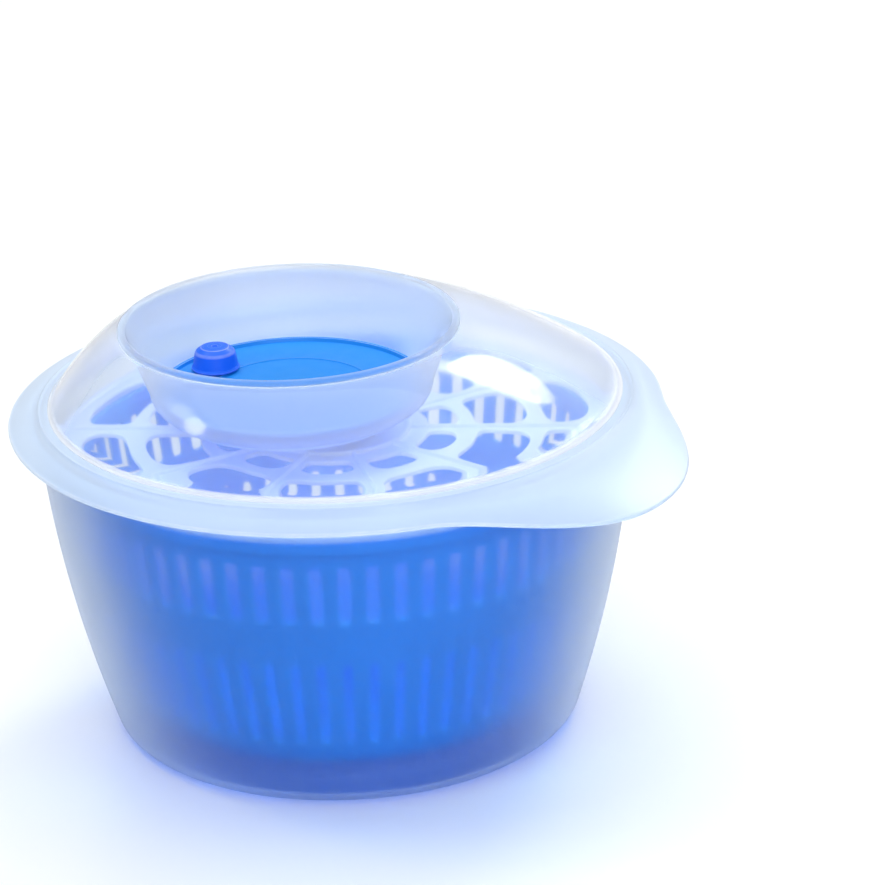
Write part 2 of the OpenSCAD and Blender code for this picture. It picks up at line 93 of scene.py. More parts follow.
def plastic(name, colour, rough, drift=0.04, smudge=0.06, grain=1400.0, grain_depth=0.00001,
            wave_depth=0.0, wear_and_light=0.5, stretch=(1, 1, 1), lets_light=None, clear=None, rubbed_and_lit_colour=None, **sockets):
    """Moulded plastic or turned metal: a slow drift of colour, handling smudges in the gloss,
    a fine mould grain and, where the mesh carries it, paler worn edges; the same mark also
    carries painted light: a painted highlight on the bowl's flange edge and the basket's inside
    painted paler as if lit. lets_light is what one face passes of the lamps' light, darker where
    the mesh is marked foot, which paints a darker shadow on the floor round the bowl's base.
    clear is (face on, edge on, milky): how much is seen through the plastic in each case, the
    last where the mesh is marked milky. rubbed_and_lit_colour is the colour of the worn edges
    and the painted light, if not a paler colour."""
    mat = bpy.data.materials.new(name)
    mat.use_nodes = True
    nt = mat.node_tree
    bsdf = next(n for n in nt.nodes if n.type == "BSDF_PRINCIPLED")
    for k, v in sockets.items():
        bsdf.inputs[k.replace("_", " ")].default_value = v
    coord = node(nt, "ShaderNodeTexCoord", -1500, 0)
    mapping = node(nt, "ShaderNodeMapping", -1300, 0)
    mapping.inputs["Scale"].default_value = stretch
    nt.links.new(coord.outputs["Object"], mapping.inputs["Vector"])

    def noise(scale, detail, y):
        n = node(nt, "ShaderNodeTexNoise", -1050, y)
        n.inputs["Scale"].default_value = scale
        n.inputs["Detail"].default_value = detail
        nt.links.new(mapping.outputs["Vector"], n.inputs["Vector"])
        return n.outputs["Fac"]

    def spread(source, lo, hi, y):
        # the middle of a noise, spread from lo to hi
        m = node(nt, "ShaderNodeMapRange", -800, y)
        m.inputs["From Min"].default_value = 0.3
        m.inputs["From Max"].default_value = 0.7
        m.inputs["To Min"].default_value = lo
        m.inputs["To Max"].default_value = hi
        nt.links.new(source, m.inputs["Value"])
        return m.outputs["Result"]

    slow = noise(22.0, 3.0, 300)
    smears = noise(95.0, 5.0, 0)
    fine = noise(grain, 2.0, -300)
    # colour
    hsv = node(nt, "ShaderNodeHueSaturation", -550, 300)
    hsv.inputs["Color"].default_value = colour
    nt.links.new(spread(slow, 1.0 - drift, 1.0 + drift, 300), hsv.inputs["Value"])
    edge = node(nt, "ShaderNodeAttribute", -800, 520, attribute_name="wear_and_light")
    wear_and_light_amount = node(nt, "ShaderNodeMath", -550, 560, operation="MULTIPLY")
    nt.links.new(edge.outputs["Fac"], wear_and_light_amount.inputs[0])
    nt.links.new(spread(smears, 0.2 * wear_and_light, wear_and_light, 700), wear_and_light_amount.inputs[1])
    mix = node(nt, "ShaderNodeMix", -300, 320, data_type="RGBA")
    nt.links.new(wear_and_light_amount.outputs[0], mix.inputs["Factor"])
    nt.links.new(hsv.outputs["Color"], mix.inputs["A"])
    mix.inputs["B"].default_value = rubbed_and_lit_colour or [c + (1.0 - c) * 0.55 for c in colour[:3]] + [1.0]
    nt.links.new(mix.outputs["Result"], bsdf.inputs["Base Color"])
    # gloss
    nt.links.new(spread(smears, max(0.02, rough - smudge), rough + smudge, 0), bsdf.inputs["Roughness"])
    # relief: mould grain on a slow wave
    low = node(nt, "ShaderNodeBump", -550, -400)
    low.inputs["Strength"].default_value = 1.0
    low.inputs["Distance"].default_value = wave_depth
    nt.links.new(slow, low.inputs["Height"])
    bump = node(nt, "ShaderNodeBump", -300, -300)
    bump.inputs["Strength"].default_value = 0.6
    bump.inputs["Distance"].default_value = grain_depth
    nt.links.new(fine, bump.inputs["Height"])
    if wave_depth:
        nt.links.new(low.outputs["Normal"], bump.inputs["Normal"])
    nt.links.new(bump.outputs["Normal"], bsdf.inputs["Normal"])
    if clear:
        facing = node(nt, "ShaderNodeLayerWeight", -800, -650)
        facing.inputs["Blend"].default_value = 0.5
        grazing = node(nt, "ShaderNodeMapRange", -550, -650)
        grazing.interpolation_type = "SMOOTHSTEP"
        grazing.inputs["From Min"].default_value = 0.3
        grazing.inputs["From Max"].default_value = 0.9
        grazing.inputs["To Min"].default_value = clear[0]
        grazing.inputs["To Max"].default_value = clear[1]
        nt.links.new(facing.outputs["Facing"], grazing.inputs["Value"])
        milk = node(nt, "ShaderNodeAttribute", -550, -900, attribute_name="milk")
        scaled = node(nt, "ShaderNodeMath", -300, -750, operation="MULTIPLY_ADD")
        scaled.inputs[1].default_value = clear[2] - clear[0]
        nt.links.new(milk.outputs["Fac"], scaled.inputs[0])
        nt.links.new(grazing.outputs["Result"], scaled.inputs[2])
        nt.links.new(scaled.outputs[0], bsdf.inputs["Transmission Weight"])
    if lets_light:
        # light from the lamps passes straight through, tinted, so what is inside is lit
        path = node(nt, "ShaderNodeLightPath", 100, 500)
        through = node(nt, "ShaderNodeBsdfTransparent", 100, 100)
        # painted shadow: where the mesh is marked foot, the lamps' light passes darker (FOOT_SHADE), darkening the
        # floor round the bowl's base more than the plastic elsewhere would
        foot = node(nt, "ShaderNodeAttribute", -400, 120, attribute_name="foot")
        shade = node(nt, "ShaderNodeMix", -150, 120, data_type="RGBA")
        shade.inputs["A"].default_value = lets_light
        shade.inputs["B"].default_value = FOOT_SHADE
        nt.links.new(foot.outputs["Fac"], shade.inputs["Factor"])
        nt.links.new(shade.outputs["Result"], through.inputs["Color"])
        mix_lamp = node(nt, "ShaderNodeMixShader", 400, 300)
        nt.links.new(path.outputs["Is Shadow Ray"], mix_lamp.inputs["Fac"])
        nt.links.new(bsdf.outputs["BSDF"], mix_lamp.inputs[1])
        nt.links.new(through.outputs["BSDF"], mix_lamp.inputs[2])
        out = next(n for n in nt.nodes if n.type == "OUTPUT_MATERIAL")
        nt.links.new(mix_lamp.outputs["Shader"], out.inputs["Surface"])
    return mat


FROSTED = plastic("frosted_bowl", (0.655, 0.753, 0.875, 1), 0.34, drift=0.01, smudge=0.01, grain=2200,
                  grain_depth=0.000001, wear_and_light=0.9, lets_light=(0.58, 0.75, 0.93, 1), clear=(0.99, 0.66, 0.48),
                  IOR=1.25, Specular_IOR_Level=0.4)
CLEAR = plastic("clear_dome", (0.86, 0.89, 0.94, 1), 0.08, drift=0.01, smudge=0.01, grain=900,
                grain_depth=0.000001, wave_depth=0.00001, wear_and_light=0.1, lets_light=(0.97, 0.98, 1.0, 1),
                clear=(0.89, 0.5, 0.3), IOR=1.2)
FROSTED_CUP = plastic("frosted_cup", (0.83, 0.88, 0.94, 1), 0.5, drift=0.01, smudge=0.02, grain=2200,
                      grain_depth=0.000001, wear_and_light=0.3, lets_light=(0.9, 0.95, 1.0, 1), clear=(0.93, 0.76, 0.7),
                      IOR=1.12, Specular_IOR_Level=0.6)
BASKET = plastic("blue_basket", (0.004, 0.29, 0.84, 1), 0.38, drift=0.05, grain=1800, grain_depth=0.00001,
                 wear_and_light=0.5, rubbed_and_lit_colour=(0.05, 0.62, 1.0, 1), lets_light=(0.1, 0.4, 0.65, 1), IOR=1.46,
                 Specular_IOR_Level=0.25)
# the lace's milky paleness is its own; its blue tint is painted light, the basket's blue light painted into its
# colour
LACE = plastic("milky_lace", (0.66, 0.77, 0.94, 1), 0.35, drift=0.03, smudge=0.03, grain=1500,
               grain_depth=0.000004, wear_and_light=0.6, lets_light=(0.85, 0.93, 1.0, 1), Transmission_Weight=0.55, IOR=1.3)
DISC = plastic("blue_disc", (0.006, 0.24, 0.75, 1), 0.40, drift=0.03, grain=1600, grain_depth=0.00002,
               wear_and_light=0.4, lets_light=(0.15, 0.5, 0.95, 1), IOR=1.46, Specular_IOR_Level=0.3)
KNOB = plastic("blue_knob", (0.004, 0.135, 0.88, 1), 0.42, drift=0.03, grain=1600, grain_depth=0.00002,
               wear_and_light=0.5, IOR=1.46, Specular_IOR_Level=0.4)
ACETAL = plastic("acetal", srgb(238, 238, 230), 0.35, drift=0.04, grain=1300, grain_depth=0.00001, wear_and_light=0.2)
TRAY = plastic("tray", (0.70, 0.83, 1.0, 1), 0.38, drift=0.03, smudge=0.03, grain=1500, grain_depth=0.000004,
               wear_and_light=0.2, lets_light=(0.85, 0.9, 1.0, 1), Transmission_Weight=0.7, IOR=1.3)
STEEL = plastic("turned_steel", srgb(196, 197, 200), 0.26, drift=0.06, grain=900, grain_depth=0.00001,
                wear_and_light=0.1, stretch=(1, 1, 14), Metallic=1.0)

# ---------------------------------------------------------------- mesh helpers

def fillet(corners, steps=5):
    """Section points (r, z[, radius]) with each corner that has a radius rounded; each
    returned point is (r, z, wear), with wear on the rounded corners that stand proud."""
    out = []
    n = len(corners)
    for i, c in enumerate(corners):
        if len(c) < 3 or not c[2]:
            out.append((c[0], c[1], 0.0))
            continue
        p = Vector(c[:2])
        a = Vector(corners[i - 1][:2]) - p
        b = Vector(corners[(i + 1) % n][:2]) - p
        half = a.angle(b) / 2
        reach = min(c[2] / math.tan(half), 0.49 * a.length, 0.49 * b.length)
        rad = reach * math.tan(half)
        mid = (a.normalized() + b.normalized()).normalized() * (rad / math.sin(half))
        centre = p + mid
        s = p + a.normalized() * reach - centre
        e = p + b.normalized() * reach - centre
        turn = s.angle_signed(e)
        proud = 1.0 if turn < 0 else 0.0
        for k in range(steps + 1):
            t = -turn * k / steps
            v = Vector((s.x * math.cos(t) - s.y * math.sin(t), s.x * math.sin(t) + s.y * math.cos(t)))
            out.append((centre.x + v.x, centre.y + v.y, proud * math.sin(math.pi * k / steps)))
    return out


def make_object(name, verts, faces, material, body, stands_for=(), slot=None, wear_and_light=None, milk=None, foot=None,
                sharp=35):
    """A mesh in metres, merged, facing out, smooth but for sharp edges, riding on a body."""
    me = bpy.data.meshes.new(name)
    me.from_pydata([(x * MM, y * MM, z * MM) for x, y, z in verts], [], faces)
    for mark, values in (("wear_and_light", wear_and_light), ("milk", milk), ("foot", foot)):
        if values:
            me.attributes.new(mark, "FLOAT", "POINT").data.foreach_set("value", values)
    bm = bmesh.new()
    bm.from_mesh(me)
    bmesh.ops.remove_doubles(bm, verts=bm.verts, dist=2e-6)
    bmesh.ops.dissolve_degenerate(bm, edges=bm.edges, dist=1e-7)
    bmesh.ops.recalc_face_normals(bm, faces=bm.faces)
    limit = math.radians(sharp)
    for f in bm.faces:
        f.smooth = True
    for e in bm.edges:
        e.smooth = not (len(e.link_faces) == 2 and e.calc_face_angle(0.0) > limit)
    bm.to_mesh(me)
    bm.free()
    me.materials.append(material)
    ob = bpy.data.objects.new(name, me)
    bpy.context.scene.collection.objects.link(ob)
    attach(ob, body)
    if stands_for:
        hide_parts(*stands_for)
    return ob


def ring_of_loops(loops):
    """Vertices and faces of a closed ring of equal section loops."""
    n, m = len(loops[0]), len(loops)
    verts = [p for loop in loops for p in loop]
    faces = []
    for j in range(m):
        k = (j + 1) % m
        for i in range(n):
            q = (i + 1) % n
            faces.append((j * n + i, k * n + i, k * n + q, j * n + q))
    return verts, faces


def turned(name, corners, material, body, x=0.0, y=0.0, steps=192, smooth=5, **kw):
    """A solid of revolution from a closed section of (r, z[, radius]) corners."""
    section = fillet(corners, smooth)
    loops = []
    for j in range(steps):
        a = TAU * j / steps
        loops.append([(x + r * math.cos(a), y + r * math.sin(a), z) for r, z, w in section])
    verts, faces = ring_of_loops(loops)
    return make_object(name, verts, faces, material, body, wear_and_light=[w for _ in loops for r, z, w in section], **kw)


# ---------------------------------------------------------------- bowl

BASE_R, CORNER_R, WALL_LEAN, WALL_CURVE = 90.4, 9.95, 0.3223, 0.001
BOWL_WALL, BOWL_FLOOR = 2.3, 2.4
LEAN = math.atan(WALL_LEAN)
WALL_Z0 = CORNER_R * (1 - math.sin(LEAN))
WALL_R0 = BASE_R + CORNER_R * math.cos(LEAN)
MOUTH_Z, LIP_R, CREST_R, JOIN_Z = 143.3, 118.8, 121.6, 134.0
FLANGE_R, BEAK_REACH, BEAK_DIR = 136.8, 33.0, -45.0
BEAK_CW, BEAK_CCW = 31.0, 45.0
EDGE_Z, EDGE_Z_BEAK, SHELL = 137.0, 134.0, 2.2
MILK_Z, FOOT_Z = 130.0, 10.5  # where the bowl starts to turn milky upward, and its foot downward


def bowl_r(z):
    return WALL_R0 + WALL_LEAN * (z - WALL_Z0) - WALL_CURVE * (z - WALL_Z0) ** 2


def wall(z0, z1, n, inset):
    """Section points up or down the bowl's wall, inset from its outside."""
    return [(bowl_r(z) - inset, z) for z in [z0 + (z1 - z0) * i / n for i in range(n + 1)]]


def arc(cr, cz, r, a0, a1, n):
    """Section points on a circle of radius r about (cr, cz), between two angles in degrees."""
    return [(cr + r * math.cos(math.radians(a0 + (a1 - a0) * i / n)),
             cz + r * math.sin(math.radians(a0 + (a1 - a0) * i / n))) for i in range(n + 1)]


def beak(a):
    """How much of the beak there is at azimuth a: 1 on its centre line, 0 beyond its spread."""
    d = (a - BEAK_DIR + 180) % 360 - 180
    s = BEAK_CW if d < 0 else BEAK_CCW
    return 0.0 if abs(d) >= s else math.cos(math.radians(90 * d / s)) ** 2


def mouth_top(re, ze, u):
    """A point on the flange's top, u of the way from its crest to its edge at (re, ze)."""
    return (CREST_R + (re - 1 - CREST_R) * u,
            MOUTH_Z - (MOUTH_Z - ze - 0.9) * (0.25 * u + 0.75 * u * u))


def bowl_section(k):
    """The bowl's closed section where there is k of the beak, from the axis out, up and back."""
    re = FLANGE_R + BEAK_REACH * k
    ze = EDGE_Z + (EDGE_Z_BEAK - EDGE_Z) * k
    deg = math.degrees(LEAN)
    pts = [(0, 0), (30, 0), (60, 0), (85, 0)]
    pts += arc(BASE_R, CORNER_R, CORNER_R, -90, -deg, 12)
    pts += wall(WALL_Z0 + 5, JOIN_Z, 26, 0)
    pts += [(bowl_r(JOIN_Z) + 0.25, 136.6), (bowl_r(JOIN_Z) + 0.9, 138.2), (126.9, 139.3)]
    for u in (0.42, 0.5, 0.58, 0.66, 0.74, 0.82, 0.9):
        r, z = mouth_top(re, ze, u)
        pts.append((r, z - SHELL))
    pts += [(re - 1.5, ze - 1.0), (re - 1.0, ze - 1.0), (re - 0.5, ze - 0.85), (re - 0.15, ze - 0.45),
            (re, ze), (re - 0.15, ze + 0.45), (re - 0.5, ze + 0.8)]
    pts += [mouth_top(re, ze, 1 - 0.05 * i) for i in range(15)]
    # a fine bead runs round the flange just outside the lid's seat
    for r, rise in ((125.0, 0), (124.6, 0.12), (124.3, 0.32), (124.0, 0.4), (123.7, 0.32), (123.4, 0.12), (123.0, 0)):
        z = mouth_top(re, ze, (r - CREST_R) / (re - 1 - CREST_R))[1]
        pts.append((r, z + rise))
    pts.append((122.2, mouth_top(re, ze, 0.6 / (re - 1 - CREST_R))[1]))
    pts += [(CREST_R, MOUTH_Z), (CREST_R - 0.8, MOUTH_Z), (LIP_R + 0.7, MOUTH_Z),
            (LIP_R + 0.2, MOUTH_Z - 0.15), (LIP_R, MOUTH_Z - 0.6), (LIP_R, 141.6), (LIP_R + 0.35, 140.8),
            (LIP_R + 1.7, 139.2), (121.6, 137.0)]
    pts += wall(JOIN_Z, CORNER_R + 2, 26, BOWL_WALL)
    pts += arc(BASE_R, CORNER_R, CORNER_R - BOWL_FLOOR, -deg, -90, 10)
    pts += [(60, BOWL_FLOOR), (30, BOWL_FLOOR), (11.2, BOWL_FLOOR), (10.5, BOWL_FLOOR + 0.5), (8.7, 8.4),
            (8.1, 9), (3, 9), (0, 9)]
    return pts


def make_bowl():
    steps = 288
    loops, wear_and_light, milk, foot = [], [], [], []
    for j in range(steps):
        a = 360.0 * j / steps
        section = bowl_section(beak(a))
        c, s = math.cos(math.radians(a)), math.sin(math.radians(a))
        re = FLANGE_R + BEAK_REACH * beak(a)
        loops.append([(r * c, r * s, z) for r, z in section])
        # partly worn, partly a painted highlight: the flange's outer edge is painted pale, standing in for the bright
        # line of light along it
        wear_and_light += [1.0 if r > re - 0.7 else 0.0 for r, z in section]
        milk += [min(1.0, max(0.0, (z - MILK_Z) / 6.0)) for r, z in section]
        # the foot mark, where the lamps' light passes darker: a painted shadow on the floor
        foot += [min(1.0, max(0.0, (FOOT_Z - z) / 4.0)) for r, z in section]
    verts, faces = ring_of_loops(loops)
    make_object("bowl_shell", verts, faces, FROSTED, "bowl", ("bowl",), "bowl_plastic", wear_and_light, milk, foot, 60)


make_bowl()

# ---------------------------------------------------------------- perforated sheets

def outward(points, i, d):
    """Point i of a closed outline, moved d to its right-hand side."""
    a, b = Vector(points[i - 1]), Vector(points[(i + 1) % len(points)])
    t = (b - a).normalized()
    return (points[i][0] + t.y * d, points[i][1] - t.x * d)


def perforated_cell(edge, hole, lift, thick, round_r):
    """Both skins and the rounded hole wall of one cell. edge and hole are matching outlines,
    anticlockwise; lift(point, depth) puts a flat point in space."""
    k = len(edge)
    rows = [[lift(p, 0.0) for p in edge]]
    wear_and_light = [[0.0] * k]
    for d, depth, w in ((1.0, 0.0, 0.2), (0.4, 0.13, 0.8), (0.1, 0.45, 1.0), (0.0, 1.0, 0.5)):
        rows.append([lift(outward(hole, i, d * round_r), depth * round_r) for i in range(k)])
        wear_and_light.append([w] * k)
    for d, depth, w in ((0.0, 1.0, 0.5), (0.1, 0.45, 1.0), (0.4, 0.13, 0.8), (1.0, 0.0, 0.2)):
        rows.append([lift(outward(hole, i, d * round_r), thick - depth * round_r) for i in range(k)])
        wear_and_light.append([w] * k)
    rows.append([lift(p, thick) for p in edge])
    wear_and_light.append([0.0] * k)
    verts = [p for row in rows for p in row]
    faces = []
    for j in range(len(rows) - 1):
        for i in range(k):
            q = (i + 1) % k
            faces.append((j * k + i, j * k + q, (j + 1) * k + q, (j + 1) * k + i))
    return verts, faces, [w for row in wear_and_light for w in row]


class Builder:
    """Collects vertices, faces and wear of one mesh."""

    def __init__(self):
        self.verts, self.faces, self.wear_and_light = [], [], []

    def add(self, verts, faces, wear_and_light=None):
        o = len(self.verts)
        self.verts += verts
        self.faces += [tuple(i + o for i in f) for f in faces]
        self.wear_and_light += wear_and_light or [0.0] * len(verts)

    def band(self, sections, azimuths):
        """A surface of revolution through open section points, at the given azimuths."""
        m, n = len(azimuths), len(sections)
        verts = [(r * math.cos(a), r * math.sin(a), z) for a in azimuths for r, z, *_ in sections]
        wear_and_light = [(s[2] if len(s) > 2 else 0.0) for a in azimuths for s in sections]
        faces = []
        for j in range(m):
            k = (j + 1) % m
            faces += [(j * n + i, k * n + i, k * n + i + 1, j * n + i + 1) for i in range(n - 1)]
        self.add(verts, faces, wear_and_light)


def rounded_slot(w, h, r, nu, nv):
    """Outline of a rounded rectangle, 2 * (nu + nv) points from its lower left corner."""
    r = min(r, w / 2 - 0.01, h / 2 - 0.01)
    quarter = math.pi * r / 4
    pts = []
    for (cx0, cy0, cx1, cy1, ang, n, straight) in (
            (-w / 2 + r, -h / 2 + r, w / 2 - r, -h / 2 + r, -90, nu, w - 2 * r),
            (w / 2 - r, -h / 2 + r, w / 2 - r, h / 2 - r, 0, nv, h - 2 * r),
            (w / 2 - r, h / 2 - r, -w / 2 + r, h / 2 - r, 90, nu, w - 2 * r),
            (-w / 2 + r, h / 2 - r, -w / 2 + r, -h / 2 + r, 180, nv, h - 2 * r)):
        # distances from the middle of one corner towards the middle of the next
        for d in [(2 * quarter + straight) * i / n for i in range(n)]:
            if d < quarter:
                t = math.radians(ang - 45 + 45 * d / quarter)
                pts.append((cx0 + r * math.cos(t), cy0 + r * math.sin(t)))
            elif d > quarter + straight:
                t = math.radians(ang + 45 * (d - quarter - straight) / quarter)
                pts.append((cx1 + r * math.cos(t), cy1 + r * math.sin(t)))
            else:
                f = (d - quarter) / straight
                t = math.radians(ang)
                pts.append((cx0 + (cx1 - cx0) * f + r * math.cos(t), cy0 + (cy1 - cy0) * f + r * math.sin(t)))
    return pts

# ---------------------------------------------------------------- basket

GAP, BASKET_WALL, SLOTS = 12.2, 1.8, 60
BASKET_Z, BLEND_Z = 13.6, 22.0
SIDE = 4  # steps across one slot's pitch, the same in every band so that they all meet


def make_basket():
    b = Builder()
    pitch = TAU / SLOTS
    azimuths = [pitch * (j + i / SIDE - 0.5) for j in range(SLOTS) for i in range(SIDE)]
    lean = math.degrees(LEAN) - 1.6
    bend = (BLEND_Z - BASKET_Z) / (1 - math.sin(math.radians(lean)))
    bend_r = bowl_r(BLEND_Z) - GAP - bend * math.cos(math.radians(lean))

    def outer(z):
        return bowl_r(z) - GAP

    def skin(z0, z1, n, inset):
        return [(outer(z0 + (z1 - z0) * i / n) - inset, z0 + (z1 - z0) * i / n) for i in range(n + 1)]

    def wall_cells(z0, z1, lo, hi, width, nv):
        zm = (lo + hi) / 2
        hole = [(x, y + zm) for x, y in rounded_slot(width, hi - lo, 1.6, SIDE, nv)]
        for j in range(SLOTS):
            mid = pitch * j
            edge = [(-0.5 + i / SIDE, z0) for i in range(SIDE)]
            edge += [(0.5, z0 + (z1 - z0) * i / nv) for i in range(nv)]
            edge += [(0.5 - i / SIDE, z1) for i in range(SIDE)]
            edge += [(-0.5, z1 + (z0 - z1) * i / nv) for i in range(nv)]
            edge = [(u * pitch * outer(z), z) for u, z in edge]

            def lift(p, depth, mid=mid):
                a = mid + p[0] / outer(p[1])
                r = outer(p[1]) - depth
                return (r * math.cos(a), r * math.sin(a), p[1])
            b.add(*perforated_cell(edge, hole, lift, BASKET_WALL, 0.5))

    def floor_cells(r0, r1, lo, hi, count, nv):
        m = SLOTS // count
        hole = rounded_slot(hi - lo, 3.2, 1.5, nv, SIDE * m)
        hole = [(x + (lo + hi) / 2, y) for x, y in hole]
        half = math.pi / count
        for j in range(count):
            mid = TAU * j / count + (m - 1) * pitch / 2
            edge = [(r0 + (r1 - r0) * i / nv, -half) for i in range(nv)]
            edge += [(r1, -half + 2 * half * i / (SIDE * m)) for i in range(SIDE * m)]
            edge += [(r1 + (r0 - r1) * i / nv, half) for i in range(nv)]
            edge += [(r0, half - 2 * half * i / (SIDE * m)) for i in range(SIDE * m)]
            edge = [(r * math.cos(a), r * math.sin(a)) for r, a in edge]

            def lift(p, depth, mid=mid):
                c, s = math.cos(mid), math.sin(mid)
                return (p[0] * c - p[1] * s, p[0] * s + p[1] * c, BASKET_Z + depth)
            b.add(*perforated_cell(edge, hole, lift, 2.0, 0.4))

    # floor rings and the wall rows between them
    floor_cells(58, 80, 60, 78, 60, 8)
    floor_cells(35, 57, 38, 54, 30, 8)
    floor_cells(15, 34, 18, 32, 15, 8)
    for r0, r1 in ((57, 58), (34, 35)):
        for z in (BASKET_Z, BASKET_Z + 2):
            b.band([(r0, z), (r1, z)], azimuths)
    wall_cells(25, 68, 27, 66, 4.0, 16)
    wall_cells(84, 114, 86, 112, 5.5, 12)
    b.band([(15, BASKET_Z), (12.2, BASKET_Z), (11, BASKET_Z - 0.4), (10.2, 12.2), (9.5, 10.4), (9.3, 10.2),
            (6.1, 10.2), (6.1, 23.0), (0.0, 23.0)], azimuths)
    b.band([(0.0, 26.5), (8.2, 26.5), (8.8, 26.3), (9.4, 25.6), (10.6, 18), (11.4, 16), (12.4, BASKET_Z + 2),
            (15, BASKET_Z + 2)], azimuths)
    b.band([(80, BASKET_Z)] + arc(bend_r, BASKET_Z + bend, bend, -90, -lean, 9) + [(outer(25), 25)], azimuths)
    b.band([(80, BASKET_Z + 2)] + arc(bend_r, BASKET_Z + bend, bend - 2, -90, -lean, 9)
           + [(outer(25) - BASKET_WALL, 25)], azimuths)
    for inset in (0, BASKET_WALL):
        b.band(skin(68, 84, 5, inset), azimuths)
    # rim: outer step, rolled lip, inner step
    b.band(skin(114, 117.6, 2, 0) + [(outer(118) + 0.5, 118.5), (112.6, 118.9), (114.6, 119.0), (115.4, 119.2),
           (115.75, 119.7), (115.8, 121), (115.8, 124.2), (115.6, 124.75), (115.15, 125.0), (114.65, 125.0),
           (114.2, 124.8), (114.0, 124.3), (114.0, 121.2), (113.6, 120.85), (113, 120.8), (111.2, 120.8),
           (110.2, 120.6), (outer(118) - BASKET_WALL, 118.5), (outer(114) - BASKET_WALL, 114)], azimuths)
    # painted light: the basket's inside is painted paler than its outside, standing in for the light that falls
    # inside it
    for i, (x, y, z) in enumerate(b.verts):
        if z > BASKET_Z + 1 and math.hypot(x, y) < outer(z) - 0.9:
            b.wear_and_light[i] = 0.6
    make_object("basket_shell", b.verts, b.faces, BASKET, "basket", ("basket",), "basket_plastic", b.wear_and_light,
                sharp=45)


make_basket()

# ---------------------------------------------------------------- basket cover

SECTORS, RIB_TURN, RIB_W = 10, -78.0, 1.6
WINDOWS = ((36.5, 51, 1.2), (56.5, 81.5, 2.2), (86.5, 108.3, 0.8))
COVER_Z, COVER_T = 125.0, 2.0


def spow(v, p):
    """A power that keeps the sign, for rounded outlines."""
    return math.copysign(abs(v) ** p, v)


def window_outline(k, j, nu, nv):
    """The window of sector k in ring j, ordered like its cell's edge: the inner side with falling
    azimuth, the clockwise side outward, the outer side with rising azimuth, the last side inward."""
    lo, hi, sway = WINDOWS[j]
    soft = 0.56 + 0.18 * math.sin(math.radians(137 * k + 80 * j))
    mid = RIB_TURN + 360 * (k + 0.5) / SECTORS
    half = 180 / SECTORS - 180 * (RIB_W + 3.4) / (math.pi * (lo + hi))
    squeeze = 0.92 - 0.05 * math.cos(math.radians(101 * k + 60 * j))
    shift = sway * math.sin(math.radians(75 * k + 40 * j))
    slant = 0.07 * math.cos(math.radians(110 * k + 70 * j))
    pts = []
    for a0, n in ((-45, nu), (-135, nv), (-225, nu), (-315, nv)):
        for i in range(n):
            t = math.radians(a0 - 90 * i / n)
            v = spow(math.sin(t), soft)
            u = spow(math.cos(t), soft) * squeeze + slant * v
            r = (lo + hi) / 2 + shift + v * (hi - lo) / 2 * 0.93 + 1.8 * (1 - u * u) - 0.9
            a = math.radians(mid + half * u)
            pts.append((r * math.cos(a), r * math.sin(a)))
    return pts


